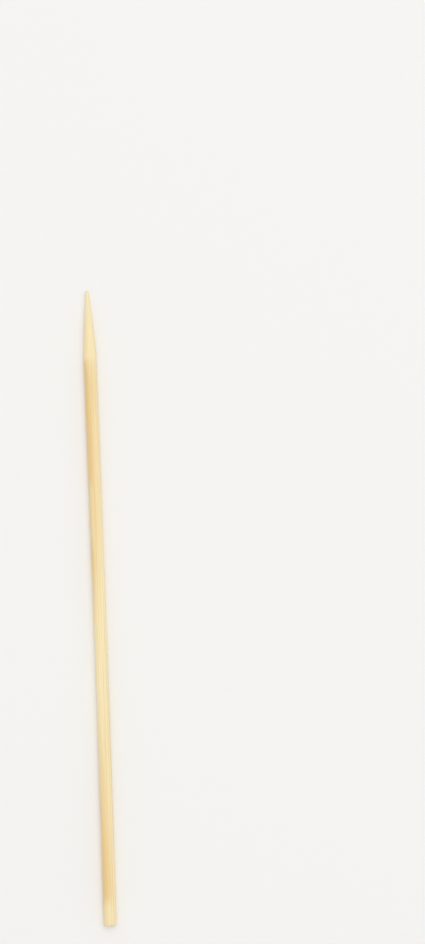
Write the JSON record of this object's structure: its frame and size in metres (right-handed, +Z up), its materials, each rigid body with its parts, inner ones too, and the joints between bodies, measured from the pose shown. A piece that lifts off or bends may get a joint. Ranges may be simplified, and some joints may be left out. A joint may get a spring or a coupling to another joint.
{
  "type": "bamboo skewer",
  "caption": "Slim round bamboo stick with a long ground point and a plain sawn butt, for threading and holding food.",
  "frame": {"origin": "under the middle of the stick, on the surface that it lies on, at the bottom centre of its bounding box", "axes": "+Y along the stick towards the point, +Z up from the flat underneath, +X across the stick, away from the skin side of the bamboo and towards its slight bow"},
  "size_m": [0.0032, 0.15, 0.0029],
  "materials": {
    "bamboo": "raw"
  },
  "bodies": {
    "root": {"skewer": "bamboo"}
  },
  "joints": []
}
